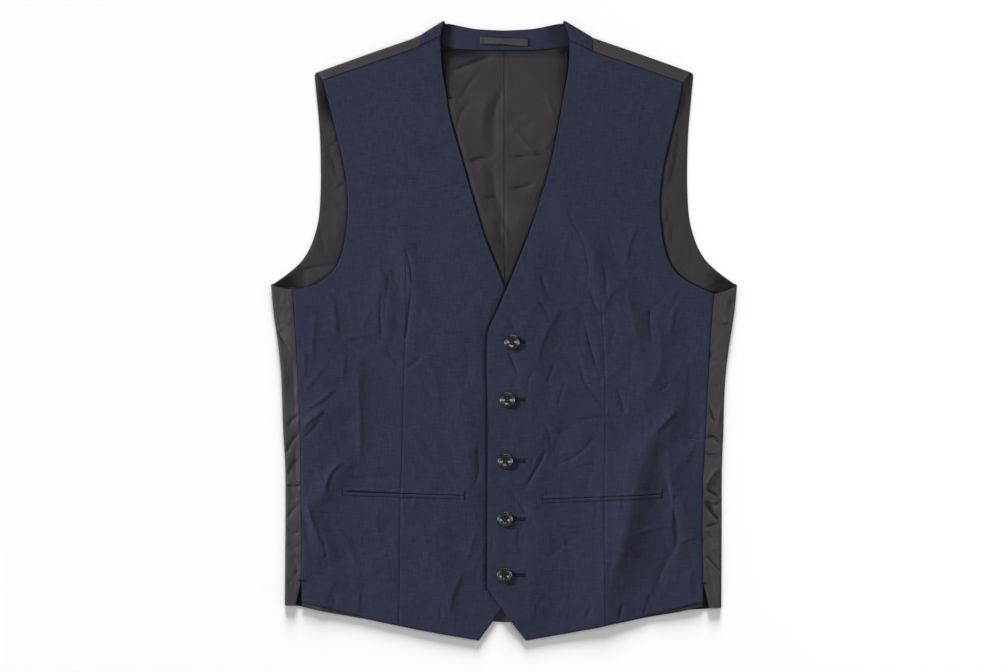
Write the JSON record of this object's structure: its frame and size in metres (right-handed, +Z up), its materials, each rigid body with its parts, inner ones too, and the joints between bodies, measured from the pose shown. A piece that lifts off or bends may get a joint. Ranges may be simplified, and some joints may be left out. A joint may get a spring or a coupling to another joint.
{
  "type": "suit waistcoat",
  "caption": "Single-breasted suit waistcoat laid flat on its back: V neck, buttoned front with pointed hem, two jetted pockets, satin back and navy neck band.",
  "frame": {"origin": "centre of the bounding box at the level of the surface that the waistcoat lies on", "axes": "+Z up off that surface and out of the front; +Y towards the neck; +X towards the wearer's left"},
  "size_m": [0.49, 0.6479, 0.0102],
  "materials": {
    "suiting": "matte navy wool and linen suiting, plain weave",
    "satin": "charcoal brown lining satin, soft sheen",
    "button": "polished black"
  },
  "bodies": {
    "root": {"front_right": "suiting", "front_left": "suiting", "neck_band": "suiting", "pocket_upper_welt_right": "suiting", "pocket_lower_welt_right": "suiting", "pocket_upper_welt_left": "suiting", "pocket_lower_welt_left": "suiting", "back_right": "satin", "back_left": "satin", "hem_lining_right": "satin", "hem_lining_left": "satin", "hanger_loop": "satin", "button_1": "button", "button_2": "button", "button_3": "button", "button_4": "button", "button_5": "button"}
  },
  "joints": []
}
